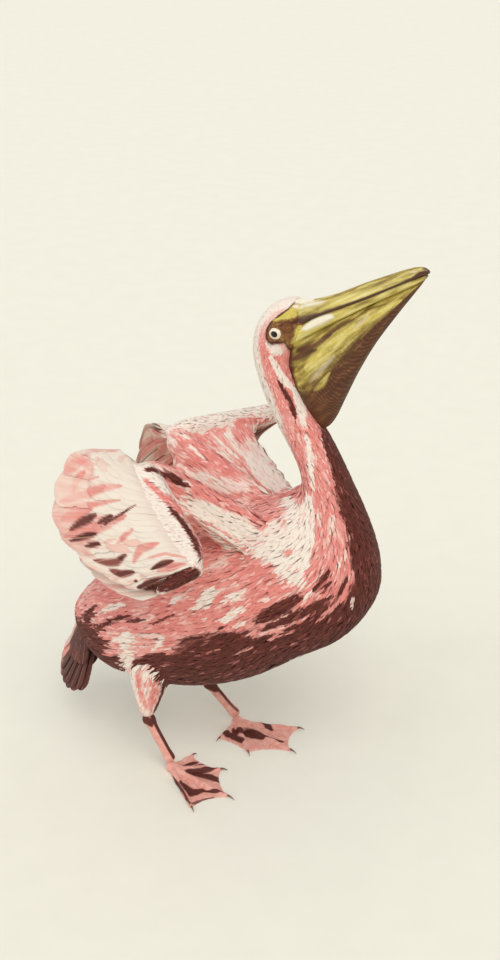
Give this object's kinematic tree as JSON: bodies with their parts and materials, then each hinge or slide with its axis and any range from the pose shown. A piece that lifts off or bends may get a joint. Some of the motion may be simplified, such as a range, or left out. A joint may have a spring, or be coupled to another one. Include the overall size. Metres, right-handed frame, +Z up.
{
  "type": "great white pelican",
  "caption": "Still life-size model of a standing pelican with rosy plumage, its long pouched bill raised and both wings half open.",
  "frame": {"origin": "on the floor, under the middle of the whole bird's box", "axes": "+X towards the breast and bill, +Y to the bird's left, +Z up"},
  "size_m": [0.8964, 0.7542, 1.2807],
  "materials": {
    "plumage": "soft matt feathers, rose pink with cream streaks and dark brown on the foreneck, breast and belly",
    "quill": "firm dark brown flight and tail feathers with pink edges",
    "bill": "smooth horn, golden olive with brown along the ridge and the cutting edge",
    "pouch": "bare stretched skin in soft folds, golden with brown shading",
    "leg": "scaly bare skin, pink, with brown webs",
    "claw": "dark horn",
    "eye": "wet dark brown eye"
  },
  "bodies": {
    "root": {"trunk": "plumage", "neck_lower": "plumage", "neck_upper": "plumage", "head": "plumage", "eye_left": "eye", "eye_right": "eye", "upper_bill": "bill", "lower_bill": "bill", "pouch": "pouch", "tail": "quill", "thigh_right": "plumage", "shank_right": "leg", "foot_right": "leg", "claw_outer_right": "claw", "claw_middle_right": "claw", "claw_inner_right": "claw", "claw_hind_right": "claw", "wing_right_upper_arm": "plumage", "wing_right_forearm": "plumage", "wing_right_hand": "plumage", "wing_right_fold": "plumage", "wing_right_scapulars": "plumage", "wing_right_secondaries": "plumage", "wing_right_primaries": "quill", "thigh_left": "plumage", "shank_left": "leg", "foot_left": "leg", "claw_outer_left": "claw", "claw_middle_left": "claw", "claw_inner_left": "claw", "claw_hind_left": "claw", "wing_left_upper_arm": "plumage", "wing_left_forearm": "plumage", "wing_left_hand": "plumage", "wing_left_fold": "plumage", "wing_left_scapulars": "plumage", "wing_left_secondaries": "plumage", "wing_left_primaries": "quill"}
  },
  "joints": []
}
